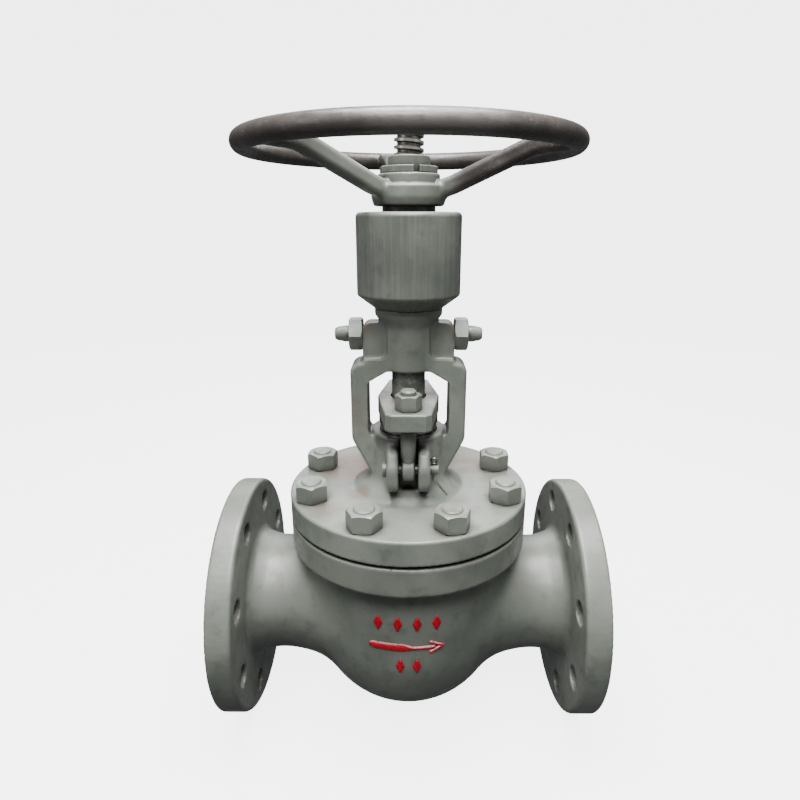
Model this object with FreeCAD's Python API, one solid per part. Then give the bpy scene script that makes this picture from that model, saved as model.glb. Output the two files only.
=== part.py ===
import FreeCAD, Part
import math
import os

# Flanged globe valve, DN 80, PN 16, with bolted bonnet, rising non-rotating stem and bearing-borne
# stem nut. Millimetres, +Z up. It is modelled about the stem axis, with z = 0 on the pipe axis, and
# moved on export so that the origin is the centre of the inlet flange face and +X is the flow.

V = FreeCAD.Vector
Z_AXIS = V(0, 0, 1)
X_AXIS = V(1, 0, 0)

# ---- driving dimensions: ends and body ----
FACE_TO_FACE = 310.0
PORT_R = 40.0
FLANGE_R = 100.0
FLANGE_RIM = 20.0
RAISED_FACE_R = 69.0
RAISED_FACE = 2.0
INLET_HOLE_R = 9.0
OUTLET_HOLE_R = 9.2  # wider than the inlet's, so that the coaxial holes stay separate features
FLANGE_PCD = 160.0
FLANGE_HOLES = 8
NECK_R = 48.6
BOWL_R = 84.5
BOWL_BOTTOM = -94.5
WALL = 9.0
CHAMBER_R = 60.0

# ---- bonnet joint ----
COVER_R = 99.5
COVER_TOP = 107.3
COVER_BOTTOM = 87.0
GASKET = 2.0
BODY_TOP = COVER_BOTTOM - GASKET
BODY_FLANGE_BOTTOM = 60.5
BONNET_PCD = 168.0
BONNET_BOLTS = 8
STUD_R = 8.0
STUD_HOLE_R = 9.0
STUD_BOTTOM = 67.0
NUT_AF = 24.0
NUT_HEIGHT = 14.5
STUD_PROUD = 1.5

# ---- seat, disc and stem ----
SEAT_TOP = 18.0
SEAT_OUTER_R = 47.0
SEAT_DEPTH = 12.0
LIFT = 25.0
SEAT_GAP = 0.2
DISC_R = 45.5
DISC_BOTTOM = SEAT_TOP + SEAT_GAP
SHANK_R = 13.5
THREAD_R = 11.0
THREAD_PITCH = 5.0
STEM_FOOT = DISC_BOTTOM + 12.0
BUTTON = 7.0
PAD = 3.0
STEM_TOP = 386.0
THREAD_START = 243.0

# ---- stuffing box ----
PACKING_R = 23.5
PACKING_FLOOR = 106.0
PACKING_WASHER = 3.0
PACKING_RINGS = 5
PACKING_RING = 8.0
BOX_TOP = 157.5
GLAND_PLATE_BOTTOM = 171.0
GLAND_PLATE_TOP = 185.0
EYEBOLT_Y = 38.0
EYE_PIN_Z = 135.5
EYEBOLT_R = 6.0
EYEBOLT_TOP = 200.5
EYE_R = 9.0
EYE_HALF = 5.3
EYE_ROUNDING = 2.2
EAR_INNER = 7.6
EAR_OUTER = 17.0
EAR_ROUNDING = 3.0
PIN_R = 4.0
GLAND_NUT_AF = 18.0
GLAND_NUT_HEIGHT = 12.0

# ---- yoke ----
YOKE_HALF_DEPTH = 14.0
WING_HALF_DEPTH = 10.0
ARM_OUTER = 46.2
WINDOW_HALF = 32.5
HUB_HALF = 36.0
HUB_TOP = 246.0
YOKE_TOP = 257.0
YOKE_TOP_R = 26.5
HUB_BOSS_R = 20.0
HUB_BOSS_BOTTOM = 208.0
GUIDE_Z = 236.0
GUIDE_SCREW_R = 6.5
GUIDE_TIP_R = 4.0
KEYWAY_DEPTH = 3.5
LOCK_NUT_AF = 24.0
LOCK_NUT_HEIGHT = 10.8

# ---- drive head ----
HOUSING_R = 40.0
HOUSING_BOTTOM = 267.0
HOUSING_TOP = 328.0
BEARING_FLOOR = 277.0
BEARING_BORE_R = 20.0
BEARING_OUTER_R = 30.0
BEARING_HEIGHT = 13.0
WASHER = 3.7
BALL_R = 3.3
BALL_COUNT = 18
BALL_PCD_R = 25.0
NUT_FLANGE = 10.0
NUT_FLANGE_R = 27.0
COVER_RING_BOTTOM = 315.0
COVER_RING_R = 34.0
HOUSING_BORE_R = 21.6
SEAL_R = 22.9

# ---- handwheel ----
RIM_R = 118.6
RIM_TUBE_R = 7.2
RIM_Z = 373.2
SPOKE_AZIMUTHS = (-140.0, -20.0, 100.0)
WHEEL_HUB_R = 28.0
WHEEL_HUB_BOTTOM = 332.0
WHEEL_HUB_TOP = 347.0
COLLAR_R = 23.0
COLLAR_TOP = 354.5
LOCK_RING_R = 21.3
LOCK_RING_TOP = 359.5
STEM_NUT_TOP = 366.7
STEM_NUT_SEAT_R = 15.5
KEY_HALF = 2.5
SPOKE_ROOT = V(18, 0, 341.5)
SPOKE_BEND = V(34, 0, 346.5)
SPOKE_KNEE = V(92, 0, 371.5)
SPOKE_HALF_WIDTH = 6.6
SPOKE_HALF_HEIGHT = 6.4
SPOKE_ROUNDING = 4.2

FIT = 0.05
GAP = 0.3


# ---- helpers ----
def corner_arc(before, corner, after, radius):
    """Arc of the given radius tangent to both runs at a corner: start, middle and end points."""
    to_before = (before - corner).normalize()
    to_after = (after - corner).normalize()
    half_angle = to_before.getAngle(to_after) / 2
    reach = radius / math.tan(half_angle)
    bisector = (to_before + to_after).normalize()
    centre = corner + bisector * (radius / math.sin(half_angle))
    return corner + to_before * reach, centre - bisector * radius, corner + to_after * reach


def outline(points):
    """Closed wire in the XZ plane; a point is (x, z) or (x, z, corner radius)."""
    corners = [V(point[0], 0, point[1]) for point in points]
    radii = [point[2] if len(point) > 2 else 0 for point in points]
    stops = []
    for i, corner in enumerate(corners):
        if radii[i]:
            stops.append(corner_arc(corners[i - 1], corner, corners[(i + 1) % len(corners)], radii[i]))
        else:
            stops.append((corner,))
    edges = []
    for i, stop in enumerate(stops):
        if len(stop) == 3:
            edges.append(Part.Arc(*stop).toShape())
        start = stop[-1]
        end = stops[(i + 1) % len(stops)][0]
        if start.distanceToPoint(end) > 1e-6:
            edges.append(Part.LineSegment(start, end).toShape())
    return Part.Wire(edges)


def turned(points, axis=Z_AXIS):
    """Solid turned about Z from (r, z) points, or about X from (x, r) points."""
    return Part.Face(outline(points)).revolve(V(0, 0, 0), axis, 360)


def slab(points, y_low, y_high):
    """Outline in XZ, extruded between two y values."""
    face = Part.Face(outline(points))
    face.translate(V(0, y_low, 0))
    return face.extrude(V(0, y_high - y_low, 0))


def side_slab(points, x_low, x_high):
    """Outline given as (y, z), extruded between two x values."""
    solid = slab(points, -x_high, -x_low)
    solid.rotate(V(0, 0, 0), Z_AXIS, 90)
    return solid


def rod(radius, low, high, x=0.0, y=0.0):
    return Part.makeCylinder(radius, high - low, V(x, y, low))


def cross_rod(radius, x_low, x_high, y, z):
    return Part.makeCylinder(radius, x_high - x_low, V(x_low, y, z), X_AXIS)


def ring(inner, outer, low, high):
    return rod(outer, low, high).cut(rod(inner, low, high))


def box(x, y, z):
    """Box from three (low, high) pairs."""
    return Part.makeBox(x[1] - x[0], y[1] - y[0], z[1] - z[0], V(x[0], y[0], z[0]))


def hexagon(across_flats, low, high, turn=0.0):
    """Hexagonal prism about Z with both ends chamfered by a cone."""
    corner = across_flats / math.sqrt(3)
    points = []
    for i in range(7):
        angle = math.radians(60 * i + turn)
        points.append(V(corner * math.cos(angle), corner * math.sin(angle), low))
    prism = Part.Face(Part.makePolygon(points)).extrude(V(0, 0, high - low))
    flat = across_flats / 2 * 0.97
    slope = (corner - flat) * math.tan(math.radians(30))
    bevel = turned([(0, low), (flat, low), (corner, low + slope), (corner, high - slope),
                    (flat, high), (0, high)])
    return prism.common(bevel)


def around(shape, count, start=0.0):
    """Copies of a shape spaced evenly about Z."""
    copies = []
    for i in range(count):
        copy = shape.copy()
        copy.rotate(V(0, 0, 0), Z_AXIS, start + 360.0 / count * i)
        copies.append(copy)
    return copies


nodes = {}


def add(name, shape):
    nodes[name] = shape


# ---- body ----
def pipe_run():
    """Both pipe flanges, the necks and the swelling between them, turned about the pipe axis."""
    end = FACE_TO_FACE / 2
    rim_face = end - RAISED_FACE
    rim_back = rim_face - FLANGE_RIM
    half = [
        (54, 66.5, 30.0), (77, 53.5, 30.0), (101, NECK_R, 50.0), (rim_back - 16, NECK_R, 30.0),
        (rim_back, NECK_R + 6, 7.0), (rim_back, FLANGE_R, 3.0), (rim_face, FLANGE_R, 1.5),
        (rim_face, RAISED_FACE_R), (end, RAISED_FACE_R, 0.5), (end, 0)]
    mirrored = [(-point[0],) + tuple(point[1:]) for point in reversed(half)]
    return turned(mirrored + half, X_AXIS)


def bowl():
    """Round-bottomed bowl under the bonnet flange, turned about the stem axis."""
    return turned([
        (0, BOWL_BOTTOM), (BOWL_R, BOWL_BOTTOM, BOWL_R), (BOWL_R, 50, 14.0),
        (COVER_R - 6, BODY_FLANGE_BOTTOM, 4.0), (COVER_R, BODY_FLANGE_BOTTOM + 1, 2.0),
        (COVER_R, BODY_TOP, 1.5), (0, BODY_TOP)])


def partition():
    """S-shaped wall between the inlet and outlet chambers, before the seat is bored."""
    half = WALL / 2
    floor = SEAT_TOP - 10
    wall = [(-100, 44 + half), (-66, 44 + half, 14), (-52, floor + half, 10), (52, floor + half, 10),
            (66, -44 + half, 14), (100, -44 + half), (100, -44 - half), (58, -44 - half, 14),
            (44, floor - half, 10), (-44, floor - half, 10), (-58, 44 - half, 14), (-100, 44 - half)]
    seat_pad = rod(SEAT_OUTER_R + 6, floor - 8, SEAT_TOP - 2)
    return slab(wall, -BOWL_R, BOWL_R).fuse(seat_pad)


def inner_space():
    """Everything inside the walls, before the partition is put back."""
    bore = cross_rod(PORT_R, -FACE_TO_FACE / 2, FACE_TO_FACE / 2, 0, 0)
    inner = BOWL_R - WALL
    chamber = turned([
        (0, BOWL_BOTTOM + WALL), (inner, BOWL_BOTTOM + WALL, inner), (inner, 44, 14.0), (CHAMBER_R, 56, 4.0),
        (CHAMBER_R, BODY_TOP), (0, BODY_TOP)])
    return bore.fuse(chamber)


def flange_holes(radius, side):
    """Bolt holes of one pipe flange, straddling its centrelines."""
    depth = FLANGE_RIM + 4
    start = FACE_TO_FACE / 2 + 1
    hole = Part.makeCylinder(radius, depth, V(side * start, FLANGE_PCD / 2, 0), X_AXIS * -side)
    step = 360.0 / FLANGE_HOLES
    holes = []
    for i in range(FLANGE_HOLES):
        copy = hole.copy()
        copy.rotate(V(0, 0, 0), X_AXIS, step * (i + 0.5))
        holes.append(copy)
    return holes


def valve_body():
    outer = bowl().fuse(pipe_run())
    cavity = inner_space().cut(partition())
    seat_bore = rod(PORT_R, -10, SEAT_TOP).fuse(rod(SEAT_OUTER_R, SEAT_TOP - SEAT_DEPTH, SEAT_TOP + 1))
    body = outer.cut(cavity.fuse(seat_bore))
    holes = flange_holes(INLET_HOLE_R, -1) + flange_holes(OUTLET_HOLE_R, 1)
    stud_holes = around(rod(STUD_R, STUD_BOTTOM, BODY_TOP, BONNET_PCD / 2), BONNET_BOLTS, 22.5)
    return body.cut(holes + stud_holes).removeSplitter()


def seat_ring():
    low = SEAT_TOP - SEAT_DEPTH
    return turned([(PORT_R - 1, low), (SEAT_OUTER_R, low), (SEAT_OUTER_R, SEAT_TOP - 1),
                   (SEAT_OUTER_R - 1, SEAT_TOP), (PORT_R + 2, SEAT_TOP), (PORT_R - 1, SEAT_TOP - 3)])


# ---- bonnet and yoke, one casting ----
def yoke_frame():
    """Two arms, their shoulders and the guide-screw wings, as one rounded slab with its window."""
    half = [(0, 112), (28, 112), (WINDOW_HALF, 124, 6), (ARM_OUTER, 151, 14), (ARM_OUTER, 214.5, 8.5),
            (HUB_HALF, 215.5, 1.5), (HUB_HALF, HUB_TOP, 6), (0, HUB_TOP)]
    mirrored = [(-point[0],) + tuple(point[1:]) for point in reversed(half[1:-1])]
    frame = slab(half + mirrored, -YOKE_HALF_DEPTH, YOKE_HALF_DEPTH)
    corners = frame.makeFillet(3.5, [edge for edge in frame.Edges if is_rim(edge)])
    window = [(-WINDOW_HALF, 153, 7), (WINDOW_HALF, 153, 7), (WINDOW_HALF, 199, 4), (17, 208, 4),
              (-17, 208, 4), (-WINDOW_HALF, 199, 4)]
    reliefs = []
    for side in (-1, 1):
        hollow = [(side * 60, 217), (side * 16, 217, 8), (side * 16, 262), (side * 60, 262)]
        reliefs.append(slab(hollow[::side], WING_HALF_DEPTH, 30))
        reliefs.append(slab(hollow[::side], -30, -WING_HALF_DEPTH))
    return corners.cut([slab(window, -30, 30)] + reliefs)


def is_rim(edge):
    """True for the edges round the front and back faces of the yoke slab."""
    bounds = edge.BoundBox
    return bounds.YLength < 1e-3 and bounds.ZMax > 113


def bonnet_cover():
    """Flange, flared foot and stuffing-box barrel, turned about the stem axis."""
    return turned([
        (0, COVER_BOTTOM - 8), (CHAMBER_R - GAP, COVER_BOTTOM - 8, 1.0), (CHAMBER_R - GAP, COVER_BOTTOM),
        (COVER_R, COVER_BOTTOM, 1.2), (COVER_R, COVER_TOP, 2.0), (46, COVER_TOP, 5.0), (40, 112.0, 7.0),
        (31.5, 117, 10.0), (31.0, BOX_TOP, 2.0), (0, BOX_TOP)])


def hub():
    """Round boss that guides the stem between the wings, flaring up to the drive head."""
    return turned([(0, HUB_BOSS_BOTTOM), (HUB_BOSS_R, HUB_BOSS_BOTTOM, 2.0), (HUB_BOSS_R, 243, 8.0),
                   (YOKE_TOP_R, 252, 4.0), (YOKE_TOP_R, YOKE_TOP), (0, YOKE_TOP)])


def ears():
    """Two pairs of rounded lugs that hold the eyebolts, front and back."""
    reach = EYEBOLT_Y + 12.5
    root = -20
    lug = [(root, 114), (-(reach - 9), 117.5, 7), (-reach, 125, 7), (-reach, EYE_PIN_Z + 4, 12),
           (-(reach - 8), 151.5, 7), (root, 152)]
    shapes = []
    for side in (-1, 1):
        low, high = sorted((side * EAR_INNER, side * EAR_OUTER))
        plate = side_slab(lug, low, high)
        flat = [edge for edge in plate.Edges if edge.BoundBox.XLength < 1e-3]
        rims = [edge for edge in flat if edge.BoundBox.YMin < root - 0.1]
        shapes.append(plate.makeFillet(EAR_ROUNDING, rims))
    return shapes + [copy for shape in shapes for copy in around(shape, 1, 180.0)]


def bonnet_yoke():
    casting = bonnet_cover().fuse([yoke_frame(), hub()] + ears())
    spigot = rod(YOKE_TOP_R - 5, YOKE_TOP - 1, BEARING_FLOOR - 6)
    casting = casting.fuse(spigot)
    slots = [box((-EAR_INNER, EAR_INNER), (-60, -EYEBOLT_Y + 9.6), (116, 170)),
             box((-EAR_INNER, EAR_INNER), (EYEBOLT_Y - 9.6, 60), (116, 170))]
    bores = [
        rod(SHANK_R + GAP, 60, 300),
        turned([(0, 60), (34, 60), (34, 82, 6), (24, 90, 3), (0, 90)]),
        rod(18, 80, 102),
        rod(PACKING_R, PACKING_FLOOR, BOX_TOP + 5),
        cross_rod(PIN_R, -30, 30, -EYEBOLT_Y, EYE_PIN_Z),
        cross_rod(PIN_R, -30, 30, EYEBOLT_Y, EYE_PIN_Z),
        cross_rod(GUIDE_SCREW_R, -60, 60, 0, GUIDE_Z)]
    bores += around(rod(STUD_HOLE_R, COVER_BOTTOM - 1, COVER_TOP + 1, BONNET_PCD / 2), BONNET_BOLTS, 22.5)
    return casting.cut(slots + bores).removeSplitter()


def bonnet_fasteners():
    """Studs tapped into the body flange and the nuts that draw the bonnet down."""
    turn = 90.0
    top = COVER_TOP + NUT_HEIGHT
    stud = rod(STUD_R, STUD_BOTTOM, top + STUD_PROUD - 1)
    stud = stud.fuse(Part.makeCone(STUD_R, STUD_R - 1.2, 1, V(0, 0, top + STUD_PROUD - 1)))
    nut = hexagon(NUT_AF, COVER_TOP, top, turn).cut(rod(STUD_R, 0, 200))
    for name, shape in (("bonnet_studs", stud), ("bonnet_nuts", nut)):
        copies = []
        for i in range(BONNET_BOLTS):
            angle = math.radians(360.0 / BONNET_BOLTS * (i + 0.5))
            copy = shape.copy()
            copy.rotate(V(0, 0, 0), Z_AXIS, 17.0 * i)
            copy.translate(V(BONNET_PCD / 2 * math.cos(angle), BONNET_PCD / 2 * math.sin(angle), 0))
            copies.append(copy)
        add(name, Part.makeCompound(copies))


# ---- stuffing box ----
def packing():
    """Back-seat bush, bottom washer and the square packing rings."""
    add("backseat_bush", turned([(SHANK_R + 0.1, 91), (SHANK_R + 3.5, 88), (18, 88), (18, 102),
                                 (SHANK_R + 0.1, 102)]))
    floor = PACKING_FLOOR
    add("packing_washer", ring(SHANK_R + 0.1, PACKING_R, floor, floor + PACKING_WASHER))
    floor += PACKING_WASHER
    for i in range(PACKING_RINGS):
        low = floor + i * PACKING_RING
        add(f"packing_ring_{i + 1}", ring(SHANK_R + FIT, PACKING_R, low, low + PACKING_RING))
    return floor + PACKING_RINGS * PACKING_RING


def gland(packing_top):
    """Follower that presses the packing, and the two-bolt plate above it."""
    add("gland_follower", turned([
        (SHANK_R + 0.15, packing_top), (PACKING_R - FIT, packing_top), (PACKING_R - FIT, 164),
        (PACKING_R + 0.8, 164), (PACKING_R + 0.8, GLAND_PLATE_BOTTOM - 1, 1),
        (SHANK_R + 2.5, GLAND_PLATE_BOTTOM),
        (SHANK_R + 0.15, GLAND_PLATE_BOTTOM)]))
    middle = rod(25.0, GLAND_PLATE_BOTTOM, GLAND_PLATE_TOP)
    reach = EYEBOLT_Y + 14.5
    lobes = [V(-17.5, -reach + 4, 0), V(-13, -reach, 0), V(13, -reach, 0), V(17.5, -reach + 4, 0),
             V(24, -9, 0), V(24, 9, 0), V(17.5, reach - 4, 0), V(13, reach, 0), V(-13, reach, 0),
             V(-17.5, reach - 4, 0), V(-24, 9, 0), V(-24, -9, 0)]
    plate = Part.Face(Part.makePolygon(lobes + lobes[:1]))
    plate.translate(V(0, 0, GLAND_PLATE_BOTTOM))
    plate = plate.extrude(V(0, 0, GLAND_PLATE_TOP - GLAND_PLATE_BOTTOM)).fuse(middle).removeSplitter()
    rims = [edge for edge in plate.Edges if edge.BoundBox.ZLength < 1e-3]
    plate = plate.makeFillet(1.5, rims)
    holes = [rod(SHANK_R + 1.2, 160, 200)]
    holes += [rod(EYEBOLT_R + 0.6, 160, 200, 0, side * EYEBOLT_Y) for side in (-1, 1)]
    add("gland_plate", plate.cut(holes))


def eyebolt_set(tag, y, nut_turn):
    """Eyebolt, its cross pin with a split pin, and the nut on the gland plate."""
    eye = cross_rod(EYE_R, -EYE_HALF, EYE_HALF, y, EYE_PIN_Z)
    eye = eye.makeFillet(EYE_ROUNDING, [edge for edge in eye.Edges if edge.BoundBox.XLength < 1e-3])
    shank = rod(EYEBOLT_R, EYE_PIN_Z, EYEBOLT_TOP - 1, 0, y)
    tip = Part.makeCone(EYEBOLT_R, EYEBOLT_R - 1, 1, V(0, y, EYEBOLT_TOP - 1))
    bolt = eye.fuse([shank, tip]).cut(cross_rod(PIN_R, -20, 20, y, EYE_PIN_Z))
    add(f"eyebolt_{tag}", bolt)
    far = EAR_OUTER + 6.5
    pin = cross_rod(PIN_R, -EAR_OUTER - 3, far, y, EYE_PIN_Z)
    pin = pin.fuse(cross_rod(6.2, -EAR_OUTER - 3, -EAR_OUTER, y, EYE_PIN_Z))
    split_x = EAR_OUTER + 3.2
    pin = pin.cut(Part.makeCylinder(1.1, 20, V(split_x, y, EYE_PIN_Z - 10)))
    add(f"eyebolt_pin_{tag}", pin)
    leg = Part.makeCylinder(1.1, 14, V(split_x, y, EYE_PIN_Z - 9))
    head = Part.makeTorus(2.2, 1.0, V(split_x, y, EYE_PIN_Z + 7.2), V(0, 1, 0))
    toe = Part.makeCylinder(0.9, 17, V(split_x, y, EYE_PIN_Z - 8.6), V(0.62, 0, -0.78))
    add(f"split_pin_{tag}", leg.fuse([head, toe]))
    nut = hexagon(GLAND_NUT_AF, GLAND_PLATE_TOP, GLAND_PLATE_TOP + GLAND_NUT_HEIGHT, nut_turn)
    nut.translate(V(0, y, 0))
    add(f"gland_nut_{tag}", nut.cut(rod(EYEBOLT_R, 150, 210, 0, y)))


# ---- stem and disc ----
def stem():
    """Stem with its button foot, back-seat collar, two keyways and the thread's pitch grooves."""
    foot = STEM_FOOT
    button_r = 17.0
    neck_r = SHANK_R - 2
    collar_r = 17.5
    collar = 61.5
    body = turned([
        (0, foot), (7, foot), (button_r, foot + 1.5), (button_r, foot + BUTTON), (neck_r, foot + BUTTON),
        (neck_r, collar - 2.5), (collar_r, collar - 1), (collar_r, collar), (SHANK_R, collar + 4),
        (SHANK_R, THREAD_START - 2.5), (THREAD_R, THREAD_START), (THREAD_R, STEM_TOP - 1.5),
        (THREAD_R - 1.5, STEM_TOP), (0, STEM_TOP)])
    slot_low = GUIDE_Z - LIFT - 5.5
    slot_high = GUIDE_Z + 5.0
    slots = []
    for side in (-1, 1):
        low, high = sorted((side * (SHANK_R - KEYWAY_DEPTH), side * (SHANK_R + 2)))
        slots.append(box((low, high), (-GUIDE_TIP_R - 0.2, GUIDE_TIP_R + 0.2), (slot_low, slot_high)))
    root = THREAD_R - 2.5
    crest = THREAD_R + 1
    pitch_grooves = []
    turns = int((STEM_TOP - 6 - THREAD_START - 4) / THREAD_PITCH)
    for i in range(turns):
        z = THREAD_START + 4 + i * THREAD_PITCH
        groove = [(root, z + 0.8), (crest, z - 0.2), (crest, z + 3.2), (root, z + 2.2)]
        pitch_grooves.append(turned(groove))
    return body.cut(slots + pitch_grooves)


def disc_set():
    """Disc, the pad under the stem's foot, the nut that traps the foot, and the nut's lock screw."""
    foot = STEM_FOOT
    socket_r = 21.0
    hub_r = 26.0
    top = foot + 21
    disc = turned([
        (0, DISC_BOTTOM), (DISC_R, DISC_BOTTOM), (DISC_R, DISC_BOTTOM + 7, 2.0),
        (hub_r + 1, DISC_BOTTOM + 12, 6.0),
        (hub_r, top), (socket_r, top), (socket_r, foot - PAD), (0, foot - PAD)])
    screw_z = top - 4
    add("disc", disc.cut(cross_rod(2.0, socket_r - 1, hub_r + 2, 0, screw_z)))
    add("thrust_pad", rod(12, foot - PAD, foot - GAP))
    low = foot + BUTTON + GAP
    bore = SHANK_R - 1.5
    nut = turned([(bore, low), (socket_r - FIT, low), (socket_r - FIT, top + 0.2), (hub_r, top + 0.2, 0.8),
                  (hub_r, top + 6, 1.0), (bore, top + 6)])
    height = (top + 0.2, top + 10)
    flats = [box((-30, 30), (22.5, 40), height), box((-30, 30), (-40, -22.5), height)]
    add("disc_nut", nut.cut(flats))
    add("disc_lock_screw", cross_rod(2.0, socket_r, hub_r - 0.5, 0, screw_z))


# ---- drive head ----
def bearing(tag, low, shaft_first):
    """Ball thrust bearing: two grooved washers and a caged set of balls."""
    groove = Part.makeTorus(BALL_PCD_R, BALL_R + 0.1, V(0, 0, low + BEARING_HEIGHT / 2), Z_AXIS)
    lower = ring(BEARING_BORE_R + (0 if shaft_first else 0.6), BEARING_OUTER_R - (1.0 if shaft_first else 0),
                 low, low + WASHER).cut(groove)
    high = low + BEARING_HEIGHT
    upper = ring(BEARING_BORE_R + (0.6 if shaft_first else 0), BEARING_OUTER_R - (0 if shaft_first else 1.0),
                 high - WASHER, high).cut(groove)
    names = ("shaft_washer", "housing_washer") if shaft_first else ("housing_washer", "shaft_washer")
    add(f"{tag}_{names[0]}", lower)
    add(f"{tag}_{names[1]}", upper)
    middle = low + BEARING_HEIGHT / 2
    ball = Part.makeSphere(BALL_R, V(BALL_PCD_R, 0, middle))
    add(f"{tag}_balls", Part.makeCompound(around(ball, BALL_COUNT)))
    pocket = rod(BALL_R + 0.1, middle - 5, middle + 5, BALL_PCD_R)
    add(f"{tag}_cage", ring(BEARING_BORE_R + 1, BEARING_OUTER_R - 1.3, middle - 1.2, middle + 1.2).cut(
        around(pocket, BALL_COUNT)))


def drive_head():
    low = BEARING_FLOOR
    flange_low = low + BEARING_HEIGHT
    flange_high = flange_low + NUT_FLANGE
    bearing_top = flange_high + BEARING_HEIGHT
    housing = turned([
        (HOUSING_BORE_R, YOKE_TOP), (YOKE_TOP_R, YOKE_TOP, 1.0), (HOUSING_R, HOUSING_BOTTOM, 3.0),
        (HOUSING_R, HOUSING_TOP, 3.5), (COVER_RING_R, HOUSING_TOP), (COVER_RING_R, COVER_RING_BOTTOM),
        (BEARING_OUTER_R + FIT, COVER_RING_BOTTOM), (BEARING_OUTER_R + FIT, low), (HOUSING_BORE_R, low)])
    add("bearing_housing", housing)
    add_housing_cover(bearing_top + GAP)
    add("stem_nut", stem_nut(low, flange_low, flange_high))
    bearing("lower_bearing", low, False)
    bearing("upper_bearing", flange_high, True)


def add_housing_cover(cover_low):
    """Screwed ring that closes the housing, with its pin-spanner holes, and the dust seal inside it."""
    top = HOUSING_TOP - 0.4
    lip = HOUSING_TOP - 3
    skirt_r = BEARING_OUTER_R - 0.2
    thread_r = COVER_RING_R - 0.1
    cover = turned([
        (SEAL_R, COVER_RING_BOTTOM + 1), (SEAL_R, cover_low), (skirt_r, cover_low),
        (skirt_r, COVER_RING_BOTTOM), (thread_r, COVER_RING_BOTTOM), (thread_r, top, 0.8),
        (BEARING_BORE_R + 0.3, top), (BEARING_BORE_R + 0.3, lip), (SEAL_R, lip)])
    holes = around(rod(2.5, HOUSING_TOP - 5, HOUSING_TOP + 1, 29), 4, 45.0)
    add("housing_cover", cover.cut(holes))
    add("dust_seal", ring(BEARING_BORE_R + 0.2, SEAL_R - 0.1, COVER_RING_BOTTOM + 1.2, lip - 0.2))


def stem_nut(low, flange_low, flange_high):
    journal = BEARING_BORE_R - FIT
    solid = turned([
        (THREAD_R + GAP, low + 0.8), (journal, low + 0.8), (journal, flange_low),
        (NUT_FLANGE_R, flange_low, 1.0), (NUT_FLANGE_R, flange_high, 1.0), (journal, flange_high),
        (journal, WHEEL_HUB_BOTTOM), (STEM_NUT_SEAT_R, WHEEL_HUB_BOTTOM),
        (STEM_NUT_SEAT_R, STEM_NUT_TOP, 1.0), (THREAD_R + GAP, STEM_NUT_TOP)])
    slot_depth = (STEM_NUT_SEAT_R - 3, STEM_NUT_SEAT_R + 1)
    return solid.cut(box((-KEY_HALF, KEY_HALF), slot_depth, (WHEEL_HUB_BOTTOM + 2, COLLAR_TOP)))


# ---- handwheel ----
def spoke(azimuth):
    """Rounded bar that leaves the hub low, climbs, and levels out into the rim."""
    path = outline_path([SPOKE_ROOT, SPOKE_BEND, SPOKE_KNEE, V(RIM_R, 0, RIM_Z)], (30.0, 34.0))
    direction = (SPOKE_BEND - SPOKE_ROOT).normalize()
    up = V(-direction.z, 0, direction.x)
    corners = []
    for side, lift in ((-1, -1), (1, -1), (1, 1), (-1, 1)):
        across = V(0, side * SPOKE_HALF_WIDTH, 0)
        corners.append(SPOKE_ROOT + across + up * lift * SPOKE_HALF_HEIGHT)
    section = rounded_loop(corners, SPOKE_ROUNDING)
    bar = path.makePipeShell([section], True, False)
    bar.rotate(V(0, 0, 0), Z_AXIS, azimuth)
    return bar


def outline_path(points, radii):
    """Open wire of straight runs with tangent arcs at its inner points."""
    edges = []
    start = points[0]
    for i, radius in enumerate(radii):
        arc = corner_arc(points[i], points[i + 1], points[i + 2], radius)
        edges.append(Part.LineSegment(start, arc[0]).toShape())
        edges.append(Part.Arc(*arc).toShape())
        start = arc[2]
    edges.append(Part.LineSegment(start, points[-1]).toShape())
    return Part.Wire(edges)


def rounded_loop(corners, radius):
    """Closed wire through four corners, each rounded."""
    count = len(corners)
    arcs = [corner_arc(corners[i - 1], corners[i], corners[(i + 1) % count], radius) for i in range(count)]
    edges = []
    for i, arc in enumerate(arcs):
        edges.append(Part.Arc(*arc).toShape())
        edges.append(Part.LineSegment(arc[2], arcs[(i + 1) % count][0]).toShape())
    return Part.Wire(edges)


def handwheel():
    rim = Part.makeTorus(RIM_R, RIM_TUBE_R, V(0, 0, RIM_Z), Z_AXIS)
    hub_solid = turned([
        (0, WHEEL_HUB_BOTTOM), (WHEEL_HUB_R - 2, WHEEL_HUB_BOTTOM, 2.0),
        (WHEEL_HUB_R, WHEEL_HUB_BOTTOM + 6, 8.0), (WHEEL_HUB_R, WHEEL_HUB_TOP, 2.0),
        (COLLAR_R, WHEEL_HUB_TOP, 1.0), (COLLAR_R, COLLAR_TOP, 1.0), (0, COLLAR_TOP)])
    wheel = hub_solid.fuse([rim] + [spoke(azimuth) for azimuth in SPOKE_AZIMUTHS])
    low = WHEEL_HUB_BOTTOM - 1
    high = COLLAR_TOP + 1
    bore = rod(STEM_NUT_SEAT_R + FIT, low, high)
    key_slot = box((-KEY_HALF, KEY_HALF), (STEM_NUT_SEAT_R - 3, STEM_NUT_SEAT_R + 2.5), (low, high))
    return wheel.cut([bore, key_slot]).removeSplitter()


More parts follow.
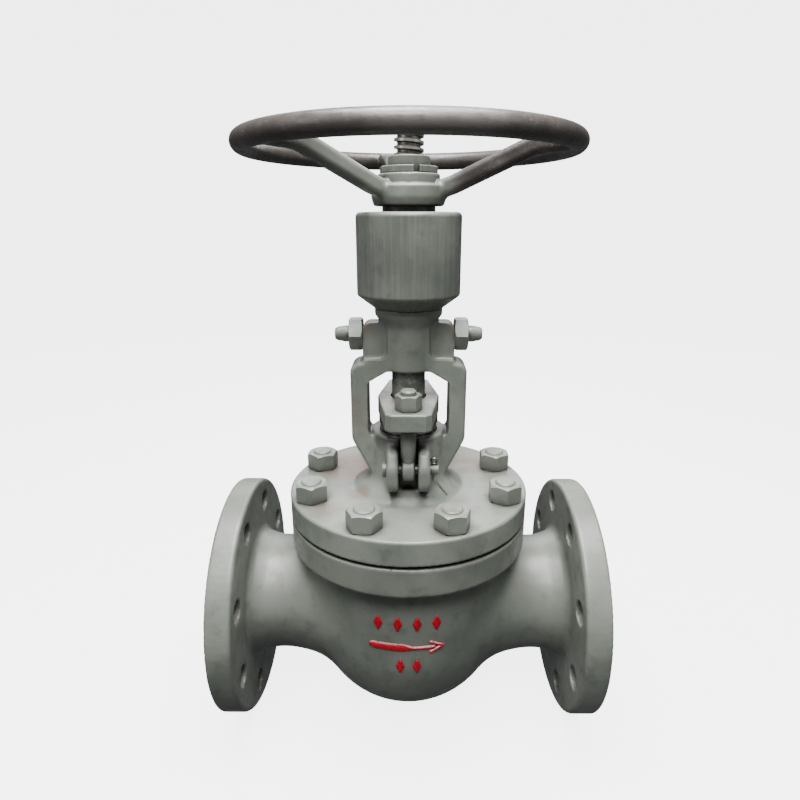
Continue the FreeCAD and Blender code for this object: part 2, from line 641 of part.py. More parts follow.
def wheel_fixing():
    """Key between the stem nut and the wheel, and the slotted ring nut above them."""
    half = KEY_HALF - FIT
    add("wheel_key", box((-half, half), (STEM_NUT_SEAT_R - 2.9, STEM_NUT_SEAT_R + 2.3),
                         (WHEEL_HUB_BOTTOM + 2.1, COLLAR_TOP - 0.2)))
    lock_ring = turned([(STEM_NUT_SEAT_R, COLLAR_TOP), (LOCK_RING_R, COLLAR_TOP, 0.8),
                        (LOCK_RING_R, LOCK_RING_TOP, 0.8), (STEM_NUT_SEAT_R, LOCK_RING_TOP)])
    slot = box((18.6, 25), (-2.2, 2.2), (COLLAR_TOP - 1, LOCK_RING_TOP + 1))
    add("handwheel_nut", lock_ring.cut(around(slot, 4, 15.0)))


def guide_screws():
    """Side screws whose tips run in the stem's keyways, each with its lock nut."""
    end = 58.2
    tip = SHANK_R - KEYWAY_DEPTH + 0.4
    screw = turned([(tip, 0), (tip, GUIDE_TIP_R), (SHANK_R + 3, GUIDE_TIP_R), (SHANK_R + 5, GUIDE_SCREW_R),
                    (end - 8, GUIDE_SCREW_R), (end - 2, GUIDE_SCREW_R - 1.1), (end, GUIDE_SCREW_R - 2.3),
                    (end, 0)], X_AXIS)
    screw = screw.cut(box((end - 6, end + 1), (-0.8, 0.8), (-9, 9)))
    nut = hexagon(LOCK_NUT_AF, HUB_HALF, HUB_HALF + LOCK_NUT_HEIGHT, 30.0).cut(rod(GUIDE_SCREW_R, 0, 100))
    nut.rotate(V(0, 0, 0), V(0, 1, 0), 90)
    for shape in (screw, nut):
        shape.translate(V(0, 0, GUIDE_Z))
    for tag, turn in (("right", 0), ("left", 180)):
        for name, shape in (("guide_screw", screw), ("lock_nut", nut)):
            copy = shape.copy()
            copy.rotate(V(0, 0, 0), Z_AXIS, turn)
            add(f"{name}_{tag}", copy)


def build():
    add("valve_body", valve_body())
    add("seat_ring", seat_ring())
    add("bonnet_gasket", ring(CHAMBER_R + 1, BONNET_PCD / 2 - STUD_HOLE_R - 1, BODY_TOP, COVER_BOTTOM))
    add("bonnet_yoke", bonnet_yoke())
    bonnet_fasteners()
    gland(packing())
    for tag, y, nut_turn in (("front", -EYEBOLT_Y, 3.0), ("rear", EYEBOLT_Y, 21.0)):
        eyebolt_set(tag, y, nut_turn)
    add("stem", stem())
    disc_set()
    guide_screws()
    drive_head()
    add("handwheel", handwheel())
    wheel_fixing()


build()
os.makedirs("parts", exist_ok=True)
for node_name, node_shape in nodes.items():
    placed = node_shape.copy()
    placed.translate(V(FACE_TO_FACE / 2, 0, 0))
    placed.exportStep(f"parts/{node_name}.step")
    volume = placed.Volume / 1000
    print(f"{node_name:30s} solids {len(placed.Solids):2d} volume {volume:9.2f} valid {placed.isValid()}")
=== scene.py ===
import math

import bmesh
import bpy
import numpy as np
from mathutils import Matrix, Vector
from mathutils.bvhtree import BVHTree


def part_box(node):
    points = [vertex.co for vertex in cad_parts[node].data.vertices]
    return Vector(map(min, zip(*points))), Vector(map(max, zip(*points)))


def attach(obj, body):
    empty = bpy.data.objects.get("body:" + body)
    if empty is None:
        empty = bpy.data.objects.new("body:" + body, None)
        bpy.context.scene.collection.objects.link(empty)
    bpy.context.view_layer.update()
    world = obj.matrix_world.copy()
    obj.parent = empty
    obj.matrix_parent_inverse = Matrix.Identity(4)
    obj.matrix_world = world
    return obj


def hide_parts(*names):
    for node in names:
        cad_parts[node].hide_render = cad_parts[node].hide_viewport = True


# Looks of a flanged globe valve. Metres; the origin is the centre of the inlet flange face, +X is the flow.

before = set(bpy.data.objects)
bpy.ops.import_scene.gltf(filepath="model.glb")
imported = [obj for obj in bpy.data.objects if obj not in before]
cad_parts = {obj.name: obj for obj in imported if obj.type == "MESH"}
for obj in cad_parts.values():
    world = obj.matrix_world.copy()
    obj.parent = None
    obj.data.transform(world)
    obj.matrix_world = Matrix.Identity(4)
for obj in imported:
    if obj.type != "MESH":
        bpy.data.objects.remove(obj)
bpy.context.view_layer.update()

MM = 0.001
BODY_LOW, BODY_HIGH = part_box("valve_body")
AXIS_X = (BODY_LOW.x + BODY_HIGH.x) / 2
FLOOR_Z = BODY_LOW.z
LENGTH = BODY_HIGH.x - BODY_LOW.x
COVER_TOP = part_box("bonnet_nuts")[0].z
STEM_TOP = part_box("stem")[1].z
WHEEL_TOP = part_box("handwheel")[1].z


# ---- mesh helpers ----
def new_object(name, mesh):
    obj = bpy.data.objects.new(name, mesh)
    bpy.context.scene.collection.objects.link(obj)
    return obj


def mesh_from(name, points, faces):
    mesh = bpy.data.meshes.new(name)
    mesh.from_pydata([tuple(p) for p in points], [], faces)
    mesh.validate()
    return mesh


def coordinates(mesh):
    co = np.empty(len(mesh.vertices) * 3)
    mesh.vertices.foreach_get("co", co)
    return co.reshape(-1, 3)


def set_coordinates(mesh, co):
    mesh.vertices.foreach_set("co", co.ravel())
    mesh.update()


def shade(mesh, angle_deg=40.0):
    """Smooth shading, with edges sharper than the angle kept sharp."""
    bm = bmesh.new()
    bm.from_mesh(mesh)
    limit = math.radians(angle_deg)
    for face in bm.faces:
        face.smooth = True
    for edge in bm.edges:
        edge.smooth = len(edge.link_faces) != 2 or edge.calc_face_angle() < limit
    bm.to_mesh(mesh)
    bm.free()


def even_mesh(name, source, voxel):
    """Copy of a mesh with even small faces, its points drawn back onto the source's surface."""
    rough = new_object(name + ".rough", source.copy())
    remesh = rough.modifiers.new("voxels", "REMESH")
    remesh.mode = "VOXEL"
    remesh.voxel_size = voxel
    graph = bpy.context.evaluated_depsgraph_get()
    mesh = bpy.data.meshes.new_from_object(rough.evaluated_get(graph))
    mesh.name = name
    bpy.data.objects.remove(rough)
    corners = [v.co for v in source.vertices]
    surface = BVHTree.FromPolygons(corners, [tuple(p.vertices) for p in source.polygons])
    co = coordinates(mesh)
    for i, point in enumerate(co):
        hit = surface.find_nearest(Vector(point), voxel)
        if hit[0] is not None:
            co[i] = hit[0]
    set_coordinates(mesh, co)
    return mesh


def casting(name, node, voxel, steps, weight, body):
    """Stand-in for a cast CAD node, its inner corners filled to soft blends as on a foundry pattern."""
    mesh = even_mesh(name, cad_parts[node].data, voxel)
    fill_corners(mesh, steps, weight)
    mesh.materials.clear()
    shade(mesh, 55.0)
    piece = new_object(name, mesh)
    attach(piece, body)
    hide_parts(node)
    return piece


NORMAL_EVERY = 20
CREEP = 0.9
SLIDE = 0.3


def fill_corners(mesh, steps, weight):
    """Lets the surface creep outward only, towards its neighbours' mean, where weight(points) is above 0."""
    co = coordinates(mesh)
    edges = np.empty(len(mesh.edges) * 2, int)
    mesh.edges.foreach_get("vertices", edges)
    edges = edges.reshape(-1, 2)
    share = weight(co)
    active = share > 0
    edges = edges[active[edges[:, 0]] | active[edges[:, 1]]]
    used = np.unique(edges)
    lookup = np.full(len(co), -1)
    lookup[used] = np.arange(len(used))
    a, b = lookup[edges[:, 0]], lookup[edges[:, 1]]
    local = co[used].copy()
    share = share[used][:, None]
    count = np.bincount(a, minlength=len(used)) + np.bincount(b, minlength=len(used))
    count = np.maximum(count, 1)[:, None]
    normals = np.empty(len(co) * 3)
    mesh.vertices.foreach_get("normal", normals)
    normal = normals.reshape(-1, 3)[used]
    for step in range(steps):
        if step % NORMAL_EVERY == NORMAL_EVERY - 1:
            co[used] = local
            set_coordinates(mesh, co)
            mesh.vertices.foreach_get("normal", normals)
            normal = normals.reshape(-1, 3)[used]
        total = np.zeros_like(local)
        for k in range(3):
            total[:, k] = np.bincount(a, local[b, k], len(used)) + np.bincount(b, local[a, k], len(used))
        move = total / count - local
        along = (move * normal).sum(1, keepdims=True)
        slide = move - along * normal
        local += share * (np.maximum(along, 0) * normal * CREEP + slide * SLIDE)
    co[used] = local
    set_coordinates(mesh, co)


# ---- materials ----
class Paint:
    """A node-based material under construction; every helper returns an output socket."""

    def __init__(self, name):
        self.material = bpy.data.materials.new(name)
        self.material.use_nodes = True
        self.tree = self.material.node_tree
        self.tree.nodes.clear()
        self.shader = self.tree.nodes.new("ShaderNodeBsdfPrincipled")
        output = self.tree.nodes.new("ShaderNodeOutputMaterial")
        self.tree.links.new(self.shader.outputs[0], output.inputs["Surface"])
        self.place = self.tree.nodes.new("ShaderNodeTexCoord").outputs["Object"]

    def node(self, kind, inputs=(), **settings):
        made = self.tree.nodes.new(kind)
        for key, value in settings.items():
            setattr(made, key, value)
        for key, value in dict(inputs).items():
            if isinstance(value, bpy.types.NodeSocket):
                self.tree.links.new(value, made.inputs[key])
            else:
                made.inputs[key].default_value = value
        return made

    def noise(self, scale, detail=4.0, rough=0.55, stretch=None):
        place = self.place
        if stretch:
            place = self.node("ShaderNodeMapping", {"Vector": place, "Scale": stretch}).outputs[0]
        return self.node("ShaderNodeTexNoise", {
            "Vector": place, "Scale": scale, "Detail": detail, "Roughness": rough}).outputs["Fac"]

    def band(self, value, low, high, start=0.0, end=1.0):
        return self.node("ShaderNodeMapRange", {
            "Value": value, "From Min": low, "From Max": high, "To Min": start, "To Max": end},
            interpolation_type="SMOOTHSTEP").outputs[0]

    def math(self, operation, a, b=0.0):
        return self.node("ShaderNodeMath", {0: a, 1: b}, operation=operation).outputs[0]

    def mix(self, share, a, b, blend="MIX"):
        made = self.node("ShaderNodeMix", {0: share}, data_type="RGBA", blend_type=blend)
        for index, value in ((6, a), (7, b)):
            if isinstance(value, bpy.types.NodeSocket):
                self.tree.links.new(value, made.inputs[index])
            else:
                made.inputs[index].default_value = (*value, 1.0)
        return made.outputs[2]

    def spot(self, centre, radius, soft):
        """1 at a point of the object, falling to 0 at the radius, with a ragged edge."""
        measure = self.node("ShaderNodeVectorMath", {0: self.place, 1: centre}, operation="DISTANCE")
        wobble = self.math("MULTIPLY", self.math("SUBTRACT", soft, 0.5), radius)
        ragged = self.math("ADD", measure.outputs["Value"], wobble)
        return self.band(ragged, radius, radius * 0.35)

    def along_x(self):
        return self.node("ShaderNodeSeparateXYZ", {0: self.place}).outputs["X"]

    def height(self):
        return self.node("ShaderNodeSeparateXYZ", {0: self.place}).outputs["Z"]

    def upward(self, low=0.2, high=0.9):
        normal = self.node("ShaderNodeNewGeometry").outputs["Normal"]
        return self.band(self.node("ShaderNodeSeparateXYZ", {0: normal}).outputs["Z"], low, high)

    def corners(self, distance, low=0.35, high=0.95):
        """Painted shade mask from ambient occlusion: 0 deep in an inner corner, 1 in the open."""
        shade_node = self.node("ShaderNodeAmbientOcclusion", {"Distance": distance}, samples=6)
        return self.band(shade_node.outputs["AO"], low, high)

    def bump(self, layers):
        """layers: (height socket, distance in metres, strength), the coarsest first."""
        normal = None
        for value, distance, strength in layers:
            inputs = {"Height": value, "Distance": distance, "Strength": strength}
            if normal is not None:
                inputs["Normal"] = normal
            normal = self.node("ShaderNodeBump", inputs).outputs[0]
        self.tree.links.new(normal, self.shader.inputs["Normal"])

    def set(self, **sockets):
        for key, value in sockets.items():
            name = key.replace("_", " ").title().replace("Ior", "IOR")
            target = self.shader.inputs[name]
            if isinstance(value, bpy.types.NodeSocket):
                self.tree.links.new(value, target)
            else:
                target.default_value = (*value, 1.0) if isinstance(value, tuple) else value


GREEN = (0.118, 0.132, 0.112)
GREEN_LIGHT = (0.168, 0.184, 0.158)
GREEN_DARK = (0.056, 0.064, 0.052)
PRIMER = (0.125, 0.070, 0.052)
# Pale colour for dust specks and brush streaks, and for painted top light on upward-facing faces.
DUST_AND_TOP_LIGHT = (0.250, 0.256, 0.228)
# Dark colour for real dirt spots and dark turning lines, and for painted shade in inner corners.
DIRT_AND_SHADE = (0.020, 0.020, 0.016)


def enamel(name, grain, streaks=None, primer_spots=(), grime_spots=(), primer=0.25, tone=1.0,
           gloss=(0.30, 0.50)):
    """Grey-green machine enamel, brushed on over reddish primer."""
    p = Paint(name)
    green = tuple(c * tone for c in GREEN)
    green_light = tuple(c * tone for c in GREEN_LIGHT)
    green_dark = tuple(c * tone for c in GREEN_DARK)
    cloud = p.noise(16, 3, 0.6)
    patch = p.noise(75, 4, 0.6)
    fine = p.noise(480, 3, 0.6)
    colour = p.mix(p.band(cloud, 0.36, 0.64), green, green_light)
    colour = p.mix(p.math("MULTIPLY", p.band(patch, 0.52, 0.72), 0.35), colour, green_dark)
    if streaks:
        brush = p.noise(streaks[0], 3, 0.6, streaks[1])
        colour = p.mix(p.math("MULTIPLY", p.band(brush, 0.42, 0.66), 0.13), colour, DUST_AND_TOP_LIGHT)
        dark_brush = p.noise(streaks[0] * 0.7, 3, 0.6, streaks[1])
        colour = p.mix(p.math("MULTIPLY", p.band(dark_brush, 0.50, 0.70), 0.18), colour, green_dark)
    thin = p.math("MULTIPLY", p.band(p.noise(38, 5, 0.65), 0.54, 0.70), p.upward(0.1, 0.8))
    colour = p.mix(p.math("MULTIPLY", thin, primer), colour, PRIMER)
    # Painted highlight: upward-facing faces lightened, standing in for light from above.
    colour = p.mix(p.math("MULTIPLY", p.upward(0.5, 1.0), 0.16), colour, DUST_AND_TOP_LIGHT)
    for spots, tint in ((primer_spots, PRIMER), (grime_spots, DIRT_AND_SHADE)):
        for centre, radius, share in spots:
            colour = p.mix(p.math("MULTIPLY", p.spot(centre, radius, patch), share), colour, tint)
    # Painted shade: inner corners darkened by ambient occlusion.
    colour = p.mix(p.corners(0.014), DIRT_AND_SHADE, colour)
    colour = p.mix(p.math("MULTIPLY", p.band(fine, 0.60, 0.75), 0.18), colour, DUST_AND_TOP_LIGHT)
    worn = p.math("ADD", p.math("MULTIPLY", patch, 0.7), p.math("MULTIPLY", fine, 0.3))
    p.set(base_color=colour, roughness=p.band(worn, 0.35, 0.65, *gloss))
    pits = p.noise(260, 2, 0.5)
    sand = p.noise(900, 2, 0.5)
    p.bump([(cloud, 0.0006, 0.35), (patch, 0.0004 * grain, 0.45), (pits, 0.00022 * grain, 0.7),
            (sand, 0.00010 * grain, 0.7)])
    return p.material


def wheel_finish():
    """Dark, hand-worn paint on the rim, going over to the grey-green enamel at the hub."""
    p = Paint("wheel_finish")
    axis = (AXIS_X, 0.0, 0.0)
    flat = p.node("ShaderNodeVectorMath", {0: p.place, 1: (1.0, 1.0, 0.0)}, operation="MULTIPLY").outputs[0]
    radius = p.node("ShaderNodeVectorMath", {0: flat, 1: axis}, operation="DISTANCE").outputs["Value"]
    cloud = p.noise(22, 4, 0.6)
    patch = p.noise(110, 5, 0.65)
    fine = p.noise(620, 3, 0.6)
    dark = p.mix(p.band(cloud, 0.35, 0.65), (0.026, 0.021, 0.018), (0.050, 0.043, 0.039))
    dark = p.mix(p.math("MULTIPLY", p.band(patch, 0.55, 0.72), 0.35), dark, (0.090, 0.083, 0.077))
    rubbed = p.spot((AXIS_X + 0.012, -0.118, WHEEL_TOP), 0.062, cloud)
    rubbed = p.math("MULTIPLY", rubbed, p.band(patch, 0.22, 0.48, 0.55, 1.0))
    dark = p.mix(p.math("MULTIPLY", rubbed, 0.7), dark, (0.150, 0.140, 0.130))
    specks = p.math("MULTIPLY", p.band(fine, 0.64, 0.72), 0.55)
    dark = p.mix(specks, dark, (0.20, 0.185, 0.17))
    green = p.mix(p.band(cloud, 0.36, 0.64), GREEN, GREEN_LIGHT)
    # Painted highlight: upward-facing faces of hub and spokes lightened, standing in for light from above.
    green = p.mix(p.math("MULTIPLY", p.upward(0.2, 0.9), 0.20), green, DUST_AND_TOP_LIGHT)
    beyond = p.math("ADD", radius, p.math("MULTIPLY", cloud, 0.02))
    to_right = p.band(p.along_x(), AXIS_X - 0.080, AXIS_X + 0.080, -0.030, 0.050)
    toward_rim = p.band(p.math("ADD", beyond, to_right), 0.042, 0.098)
    colour = p.mix(toward_rim, green, dark)
    # Painted shade: inner corners darkened by ambient occlusion.
    colour = p.mix(p.corners(0.012), DIRT_AND_SHADE, colour)
    p.set(base_color=colour, roughness=p.band(patch, 0.3, 0.7, 0.30, 0.52))
    p.bump([(cloud, 0.0006, 0.4), (patch, 0.0004, 0.5), (fine, 0.00012, 0.6)])
    return p.material


def metal(name, colour, dull, rough, lines=None, metallic=1.0):
    """Machined or worn metal with fine turning lines."""
    p = Paint(name)
    patch = p.noise(120, 4, 0.6)
    line = p.noise(*lines) if lines else p.noise(900, 3, 0.6)
    tone = p.mix(p.band(patch, 0.40, 0.66), colour, dull)
    tone = p.mix(p.math("MULTIPLY", p.band(line, 0.5, 0.7), 0.25), tone, DIRT_AND_SHADE)
    # Painted shade: inner corners darkened by ambient occlusion.
    tone = p.mix(p.corners(0.004), DIRT_AND_SHADE, tone)
    p.set(base_color=tone, roughness=p.band(line, 0.3, 0.7, rough, rough + 0.18))
    p.shader.inputs["Metallic"].default_value = metallic
    p.bump([(patch, 0.0001, 0.4), (line, 0.00003, 0.5)])
    return p.material


def stem_finish():
    """Steel: overspray up to the gland on the shank, oily bare metal on the thread."""
    p = Paint("stem_finish")
    patch = p.noise(140, 4, 0.6)
    line = p.noise(700, 3, 0.6, (1.0, 1.0, 4.0))
    bare = p.mix(p.band(patch, 0.38, 0.64), (0.36, 0.34, 0.31), (0.20, 0.185, 0.165))
    sprayed = p.mix(p.band(patch, 0.45, 0.6), GREEN, GREEN_DARK)
    share = p.math("MULTIPLY", p.band(p.height(), THREAD_LOW, THREAD_LOW - 0.02), p.band(line, 0.30, 0.50))
    tone = p.mix(share, bare, sprayed)
    # Painted shade: inner corners darkened by ambient occlusion.
    tone = p.mix(p.corners(0.004, 0.25, 0.9), DIRT_AND_SHADE, tone)
    p.set(base_color=tone, roughness=p.band(patch, 0.3, 0.7, 0.28, 0.46),
          metallic=p.math("SUBTRACT", 0.85, p.math("MULTIPLY", share, 0.8)))
    p.bump([(patch, 0.00015, 0.5), (line, 0.00005, 0.5)])
    return p.material


def mark_finish():
    """Red brushed enamel, paler pink in patches on upward-facing faces."""
    p = Paint("mark_finish")
    patch = p.noise(420, 4, 0.6)
    red = p.mix(p.band(patch, 0.35, 0.65), (0.40, 0.003, 0.014), (0.24, 0.001, 0.008))
    pale = p.math("MULTIPLY", p.upward(0.45, 0.85), p.band(patch, 0.35, 0.50))
    colour = p.mix(p.math("MULTIPLY", pale, 0.75), red, (0.62, 0.36, 0.38))
    p.set(base_color=colour, roughness=p.band(patch, 0.3, 0.7, 0.30, 0.45))
    p.bump([(patch, 0.0002, 0.5)])
    return p.material


def matt(name, dark, light):
    p = Paint(name)
    grain = p.noise(500, 4, 0.6)
    tone = p.mix(p.band(grain, 0.35, 0.65), dark, light)
    p.set(base_color=tone, roughness=p.band(grain, 0.3, 0.7, 0.6, 0.85))
    p.bump([(grain, 0.0001, 0.5)])
    return p.material


# ---- pieces ----
THREAD_LOW = 0.243
THREAD_R = 0.011
THREAD_ROOT = 0.0087
PITCH = 0.005


def stem_piece():
    """The stem with a true left-hand trapezoidal thread on the CAD stem's shank."""
    bm = bmesh.new()
    bm.from_mesh(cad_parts["stem"].data)
    bmesh.ops.remove_doubles(bm, verts=bm.verts, dist=1e-6)
    bmesh.ops.bisect_plane(bm, geom=bm.verts[:] + bm.edges[:] + bm.faces[:], dist=1e-6,
                           plane_co=(0, 0, THREAD_LOW - 0.0005), plane_no=(0, 0, 1), clear_outer=True)
    bmesh.ops.holes_fill(bm, edges=[e for e in bm.edges if e.is_boundary], sides=0)
    low, high = THREAD_LOW - 0.001, STEM_TOP
    around = 64
    profile = [(0.0, THREAD_ROOT), (0.34, THREAD_ROOT), (0.50, THREAD_R), (0.84, THREAD_R)]
    turns = int((high - low) / PITCH) + 2
    rows = []
    for turn in range(-1, turns):
        for share, radius in profile:
            row = []
            for k in range(around + 1):
                angle = 2 * math.pi * k / around
                z = low + (turn + share + 1 - k / around) * PITCH
                edge = min(1.0, max(0.0, (high - z) / 0.0015))
                r = min(radius, THREAD_ROOT + (THREAD_R - THREAD_ROOT) * edge)
                place = (AXIS_X + r * math.cos(angle), r * math.sin(angle), min(max(z, low), high))
                row.append(bm.verts.new(place))
            rows.append(row)
    for first, second in zip(rows, rows[1:]):
        for k in range(around):
            bm.faces.new((first[k], first[k + 1], second[k + 1], second[k]))
    bmesh.ops.remove_doubles(bm, verts=bm.verts, dist=2e-6)
    bmesh.ops.dissolve_degenerate(bm, edges=bm.edges, dist=1e-6)
    bmesh.ops.holes_fill(bm, edges=[e for e in bm.edges if e.is_boundary], sides=0)
    bmesh.ops.recalc_face_normals(bm, faces=bm.faces)
    mesh = bpy.data.meshes.new("threaded_stem")
    bm.to_mesh(mesh)
    bm.free()
    shade(mesh, 35.0)
    mesh.materials.clear()
    mesh.materials.append(stem_finish())
    piece = new_object("threaded_stem", mesh)
    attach(piece, "stem")
    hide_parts("stem")


BOWL_R = 0.0845
BOWL_CENTRE_Z = -0.010
MARK_HEIGHT = 0.0017
MARK_SINK = 0.0003
LOZENGE_HEIGHT = 13.0
LOZENGE_HALF = 4.0
LOZENGE_TIP = 0.5
UPPER_ROW_Z = 27.5
UPPER_ROW_X = (-23.0, -8.0, 7.0, 22.0)
LOWER_ROW_Z = -11.0
LOWER_ROW_X = (-6.0, 7.0)


def on_bowl(x, z, lift):
    """Point on the front of the bowl, lifted off its surface."""
    drop = min(0.0, z - BOWL_CENTRE_Z)
    depth = math.sqrt(BOWL_R ** 2 - x ** 2 - drop ** 2)
    normal = Vector((x, -depth, drop)) / BOWL_R
    return Vector((AXIS_X + x, -depth, z)) + normal * lift, normal


def stroke(points):
    """Raised stroke through (x, z, half width) points in mm: list of cross-sections on the bowl."""
    path = [Vector(p) for p in points]
    stations = []
    for a, b in zip(path, path[1:]):
        count = max(1, int((b - a).xy.length / 0.6))
        stations += [a.lerp(b, i / count) for i in range(count)]
    stations = round_ends(stations + [path[-1]])
    sections = []
    for i, here in enumerate(stations):
        ahead = stations[min(i + 1, len(stations) - 1)]
        behind = stations[max(i - 1, 0)]
        along = (ahead - behind).xy.normalized()
        side = Vector((-along.y, along.x))
        section = []
        for k in range(9):
            across = -1 + k / 4
            rise = (1 - abs(across) ** 3.0) * min(1.0, here.z / 1.3) * MARK_HEIGHT - MARK_SINK
            offset = here.xy + side * (across * here.z)
            section.append(on_bowl(offset.x * MM, offset.y * MM, rise)[0])
        sections.append(section)
    return sections


def round_ends(stations):
    """Adds narrowing stations before the first and after the last one."""
    def cap(end, inward):
        out = (end - inward).xy.normalized()
        made = []
        for t in (0.45, 0.8, 0.97):
            place = end.xy + out * (end.z * t)
            made.append(Vector((place.x, place.y, max(0.05, end.z * math.sqrt(1 - t * t)))))
        return made
    head = cap(stations[0], stations[1])
    tail = cap(stations[-1], stations[-2])
    return head[::-1] + stations + tail


def lozenge(x, z):
    """A solid upright lozenge: one short stroke that is widest in its middle."""
    reach = LOZENGE_HEIGHT / 2
    return [(x, z - reach, LOZENGE_TIP), (x, z, LOZENGE_HALF), (x, z + reach, LOZENGE_TIP)]


def marks_piece():
    """Raised red marks of plain shapes: four lozenges, a flow arrow, and two lozenges below."""
    strokes = [lozenge(x, UPPER_ROW_Z) for x in UPPER_ROW_X]
    strokes += [lozenge(x, LOWER_ROW_Z) for x in LOWER_ROW_X]
    strokes.append([(-27.0, 6.5, 3.4), (-4.0, 6.3, 3.9), (4.0, 6.2, 1.5), (20.0, 6.2, 1.4)])
    strokes.append([(17.5, 10.8, 1.2), (27.0, 6.2, 1.4), (17.5, 1.6, 1.2)])
    points, faces = [], []
    for path in strokes:
        sections = stroke(path)
        base = len(points)
        size = len(sections[0])
        for section in sections:
            points += section
        last = base + (len(sections) - 1) * size
        for start in range(base, last, size):
            for k in range(size):
                m = (k + 1) % size
                faces.append((start + k, start + m, start + size + m, start + size + k))
        faces.append(tuple(base + k for k in reversed(range(size))))
        faces.append(tuple(last + k for k in range(size)))
    mesh = mesh_from("raised_marks", points, faces)
    bm = bmesh.new()
    bm.from_mesh(mesh)
    bmesh.ops.recalc_face_normals(bm, faces=bm.faces)
    bm.to_mesh(mesh)
    bm.free()
    shade(mesh, 60.0)
    mesh.materials.append(mark_finish())
    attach(new_object("raised_marks", mesh), "valve_frame")


def body_weight(co):
    """Where the body's inner corners may fill: outside, between the flanges and under the bonnet flange."""
    across = np.hypot(co[:, 1], co[:, 2])
    along = np.abs(co[:, 0] - AXIS_X)
    share = np.clip((LENGTH / 2 - 0.036 - along) / 0.018, 0, 1)
    share *= np.clip((0.0500 - co[:, 2]) / 0.008, 0, 1)
    outside = (across > 0.0455) | (np.hypot(co[:, 0] - AXIS_X, co[:, 1]) > 0.075)
    return share * outside


def bonnet_weight(co):
    """Where the bonnet's inner corners may fill: above the cover, outside its bores."""
    radius = np.hypot(co[:, 0] - AXIS_X, co[:, 1])
    share = np.clip((co[:, 2] - COVER_TOP) / 0.001, 0, 1) * (radius > 0.0145)
    share *= np.clip((0.0720 - radius) / 0.004, 0, 1)
    share[(radius < 0.0245) & (co[:, 2] < 0.172)] = 0
    return share


def wheel_weight(co):
    radius = np.hypot(co[:, 0] - AXIS_X, co[:, 1])
    return ((radius > 0.0245) & (co[:, 2] > 0.334)).astype(float)


def give(finish, *names):
    for name in names:
        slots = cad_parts[name].data.materials
        slots.clear()
        slots.append(finish)


def make_pieces():
    primer_spots = [
        ((AXIS_X - 0.050, 0.034, 0.108), 0.042, 0.70),
        ((AXIS_X + 0.052, 0.040, 0.108), 0.036, 0.45),
        ((AXIS_X - 0.040, -0.024, 0.108), 0.014, 0.55),
        ((AXIS_X - 0.064, -0.052, 0.108), 0.018, 0.35),
        ((AXIS_X - 0.034, -0.004, 0.243), 0.012, 0.60),
        ((AXIS_X + 0.034, -0.004, 0.243), 0.012, 0.35),
        ((AXIS_X - 0.045, -0.010, 0.172), 0.022, 0.25),
        ((AXIS_X - 0.088, -0.012, 0.114), 0.018, 0.30),
        ((AXIS_X + 0.004, -0.078, 0.055), 0.010, 0.45)]
    grime_spots = [
        ((AXIS_X - 0.020, -0.020, 0.157), 0.014, 0.75), ((AXIS_X + 0.014, -0.024, 0.157), 0.010, 0.45),
        ((AXIS_X + 0.020, -0.040, 0.124), 0.012, 0.35)]
    cast = enamel("cast_enamel", 1.0, primer_spots=primer_spots, grime_spots=grime_spots)
    # Painted shade: the body takes a darker copy (tone 0.78) of the same cast enamel, standing in for the
    # shade on the bowl and flanges.
    shaded_body_enamel = enamel("body_enamel_shaded", 0.40, primer_spots=primer_spots[-1:], tone=0.78, gloss=(0.32, 0.46))
    turned = enamel("turned_enamel", 0.35, streaks=(60, (6.0, 6.0, 0.22)), primer=0.1, tone=0.70)
    bolts = enamel("bolt_enamel", 0.6, primer=0.55)
    gland_spots = [((AXIS_X - 0.014, -0.012, 0.186), 0.018, 0.6), ((AXIS_X + 0.016, 0.0, 0.186), 0.016, 0.6)]
    gland = enamel("gland_enamel", 0.7, primer_spots=gland_spots)
    rotor = wheel_finish()
    body = casting("body_casting", "valve_body", 0.0015, 260, body_weight, "valve_frame")
    bonnet = casting("bonnet_casting", "bonnet_yoke", 0.0010, 14, bonnet_weight, "valve_frame")
    wheel = casting("spoked_wheel", "handwheel", 0.0010, 60, wheel_weight, "handwheel_rotor")
    for piece, finish in ((body, shaded_body_enamel), (bonnet, cast), (wheel, rotor)):
        piece.data.materials.append(finish)
    stem_piece()
    marks_piece()
    give(turned, "bearing_housing", "housing_cover", "handwheel_nut", "stem_nut")
    give(gland, "gland_plate")
    names = ["bonnet_nuts", "bonnet_studs"]
    for side in ("front", "rear"):
        names += [f"gland_nut_{side}", f"eyebolt_{side}", f"eyebolt_pin_{side}"]
    for side in ("left", "right"):
        names += [f"guide_screw_{side}", f"lock_nut_{side}"]
    give(bolts, *names)
    steel = metal("pin_steel", (0.40, 0.40, 0.38), (0.24, 0.23, 0.21), 0.30)
    give(steel, "split_pin_front", "split_pin_rear", "wheel_key", "disc_lock_screw")
    give(metal("trim_steel", (0.56, 0.56, 0.55), (0.42, 0.42, 0.41), 0.22), "seat_ring", "disc", "thrust_pad",
         "disc_nut", "backseat_bush", "packing_washer", "gland_follower")
    polished = metal("bearing_steel", (0.62, 0.62, 0.63), (0.50, 0.50, 0.51), 0.12)
    brass = metal("cage_brass", (0.62, 0.44, 0.18), (0.45, 0.31, 0.13), 0.30)
    for tag in ("lower_bearing", "upper_bearing"):
        give(polished, f"{tag}_housing_washer", f"{tag}_shaft_washer", f"{tag}_balls")
        give(brass, f"{tag}_cage")
    graphite = matt("graphite", (0.020, 0.020, 0.022), (0.060, 0.060, 0.064))
    give(graphite, "bonnet_gasket", *[f"packing_ring_{i}" for i in range(1, 6)])
    give(matt("seal_rubber", (0.008, 0.008, 0.008), (0.022, 0.022, 0.022)), "dust_seal")


# ---- stage ----
FLOOR_R = 1.9
FLOOR_CURVE_R = 0.8
WALL_TOP = 3.6


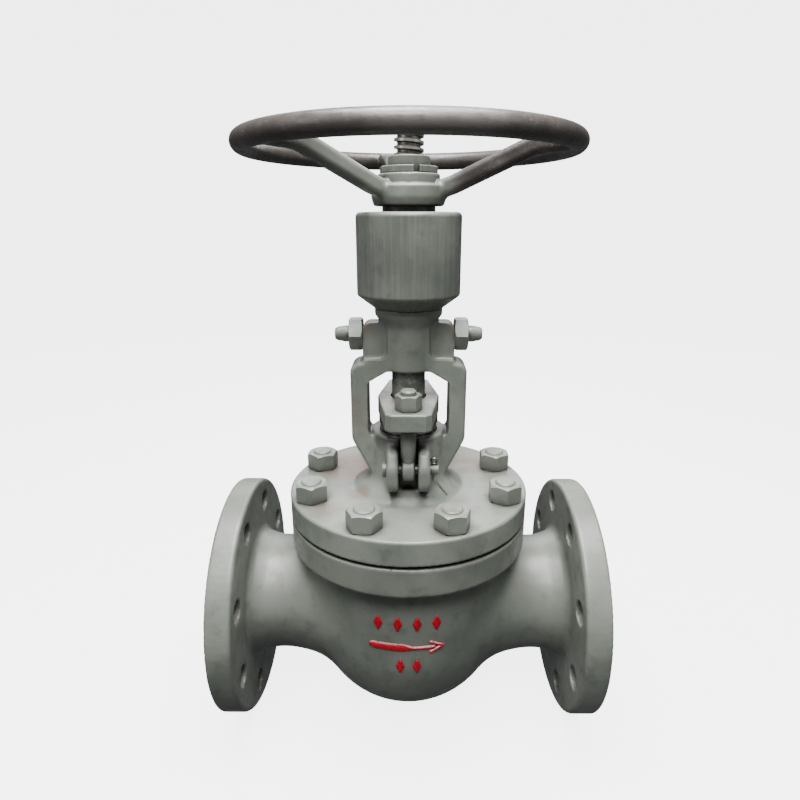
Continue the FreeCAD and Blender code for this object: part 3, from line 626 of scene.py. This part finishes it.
def backdrop():
    """Pale floor that curves up into a wall all round, far from the valve."""
    profile = [(0.0, 0.0), (FLOOR_R, 0.0)]
    for step in range(1, 13):
        angle = math.pi / 2 * step / 12
        profile.append((FLOOR_R + FLOOR_CURVE_R * math.sin(angle), FLOOR_CURVE_R * (1 - math.cos(angle))))
    profile.append((FLOOR_R + FLOOR_CURVE_R, WALL_TOP))
    around = 96
    points, faces = [(AXIS_X, 0.0, FLOOR_Z)], []
    for radius, rise in profile[1:]:
        for k in range(around):
            angle = 2 * math.pi * k / around
            points.append((AXIS_X + radius * math.cos(angle), radius * math.sin(angle), FLOOR_Z + rise))
    for k in range(around):
        faces.append((0, 1 + k, 1 + (k + 1) % around))
    for row in range(len(profile) - 2):
        base = 1 + row * around
        for k in range(around):
            m = (k + 1) % around
            faces.append((base + k, base + around + k, base + around + m, base + m))
    mesh = mesh_from("floor", points, faces)
    for polygon in mesh.polygons:
        polygon.use_smooth = True
    p = Paint("floor_paper")
    grain = p.noise(30, 3, 0.5)
    p.set(base_color=p.mix(grain, (0.34, 0.34, 0.35), (0.36, 0.36, 0.37)), roughness=0.9)
    p.shader.inputs["Emission Color"].default_value = (0.87, 0.87, 0.91, 1.0)
    p.shader.inputs["Emission Strength"].default_value = 4.9
    mesh.materials.append(p.material)
    floor = new_object("floor", mesh)
    floor.visible_diffuse = False
    floor.visible_glossy = False


def area_light(name, place, size, power):
    data = bpy.data.lights.new(name, "AREA")
    data.shape = "RECTANGLE"
    data.size, data.size_y = size
    data.energy = power
    lamp = new_object(name, data)
    lamp.location = place
    aim = Vector((AXIS_X, 0.0, 0.14)) - Vector(place)
    lamp.rotation_euler = aim.to_track_quat("-Z", "Y").to_euler()


def lights():
    area_light("top_softbox", (AXIS_X, -0.12, 1.45), (1.0, 0.7), 80.0)
    area_light("front_softbox", (AXIS_X - 0.1, -1.10, 1.60), (1.0, 0.5), 45.0)
    area_light("left_softbox", (AXIS_X - 1.25, -0.75, 0.85), (0.6, 0.9), 6.0)
    area_light("right_softbox", (AXIS_X + 1.25, -0.75, 0.85), (0.6, 0.9), 3.0)
    area_light("rear_softbox", (AXIS_X, 1.3, 0.9), (1.2, 0.8), 12.0)
    world = bpy.data.worlds.new("studio")
    world.use_nodes = True
    background = world.node_tree.nodes["Background"].inputs
    background["Color"].default_value = (0.86, 0.87, 0.90, 1.0)
    background["Strength"].default_value = 0.17
    bpy.context.scene.world = world


CAMERA_AWAY = 0.45746
CAMERA_HEIGHT = 0.32323
CAMERA_DOWN_DEG = 17.13
CAMERA_TURN = 0.0066
LENS_MM = 26.206
SENSOR_MM = 36.0


def camera():
    data = bpy.data.cameras.new("camera")
    data.sensor_width = SENSOR_MM
    data.lens = LENS_MM
    data.shift_x = -0.00594
    data.shift_y = -0.00233
    data.clip_start, data.clip_end = 0.01, 50.0
    view = new_object("camera", data)
    view.location = (AXIS_X, -CAMERA_AWAY, CAMERA_HEIGHT)
    view.rotation_euler = (math.radians(90 - CAMERA_DOWN_DEG), 0.0, CAMERA_TURN)
    bpy.context.scene.camera = view


make_pieces()
backdrop()
lights()
camera()
